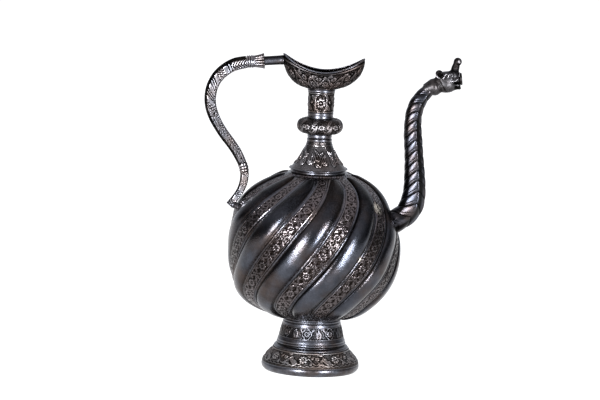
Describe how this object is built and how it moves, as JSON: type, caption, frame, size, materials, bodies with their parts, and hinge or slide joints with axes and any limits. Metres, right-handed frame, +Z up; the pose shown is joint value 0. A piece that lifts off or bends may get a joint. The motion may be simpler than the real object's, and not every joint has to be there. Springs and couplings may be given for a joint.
{
  "type": "ewer",
  "caption": "Spiral-lobed metal ewer on a flared foot, with a knopped neck, boat-shaped mouth, S-shaped handle and herringbone spout ending in an animal's head.",
  "frame": {"origin": "centre of the foot on the resting plane", "axes": "+Z up the axis of the globe and neck, +X towards the spout, -X towards the handle"},
  "size_m": [0.256, 0.17, 0.3199],
  "materials": {
    "globe_metal": "dark oxidised silver over brass, polished lobes and chased bands",
    "chased_metal": "chased, warm dark tarnish in the recesses, worn bright on the relief",
    "polished_metal": "turned and polished, dark oxidised silver",
    "handle_metal": "brighter worn silver with engraved hatching",
    "spout_metal": "polished dark oxidised silver with incised herringbone"
  },
  "bodies": {
    "root": {"foot_rim": "polished_metal", "foot_skirt": "chased_metal", "foot_lower_bead": "polished_metal", "foot_upper_beads": "polished_metal", "foot_collar": "chased_metal", "foot_top_ring": "polished_metal", "globe_lower": "globe_metal", "globe_upper": "globe_metal", "shoulder_ring": "polished_metal", "neck_cone": "chased_metal", "neck_ring_pair": "polished_metal", "knop_lower": "chased_metal", "knop_upper": "chased_metal", "neck_band": "polished_metal", "neck_tube": "chased_metal", "throat_bead": "polished_metal", "mouth_bowl": "chased_metal", "mouth_rim": "polished_metal", "handle_rod": "polished_metal", "handle_ferrule": "handle_metal", "handle_ferrule_rings": "handle_metal", "handle_bow": "handle_metal", "handle_collar_rings": "handle_metal", "handle_tail": "handle_metal", "handle_stud": "polished_metal", "spout_root": "spout_metal", "spout_tube": "spout_metal", "spout_neck": "spout_metal", "dragon_head": "spout_metal", "dragon_jaw": "spout_metal", "dragon_snout": "spout_metal", "dragon_ears": "spout_metal", "dragon_eyes": "spout_metal", "outlet_ring": "spout_metal"}
  },
  "joints": []
}
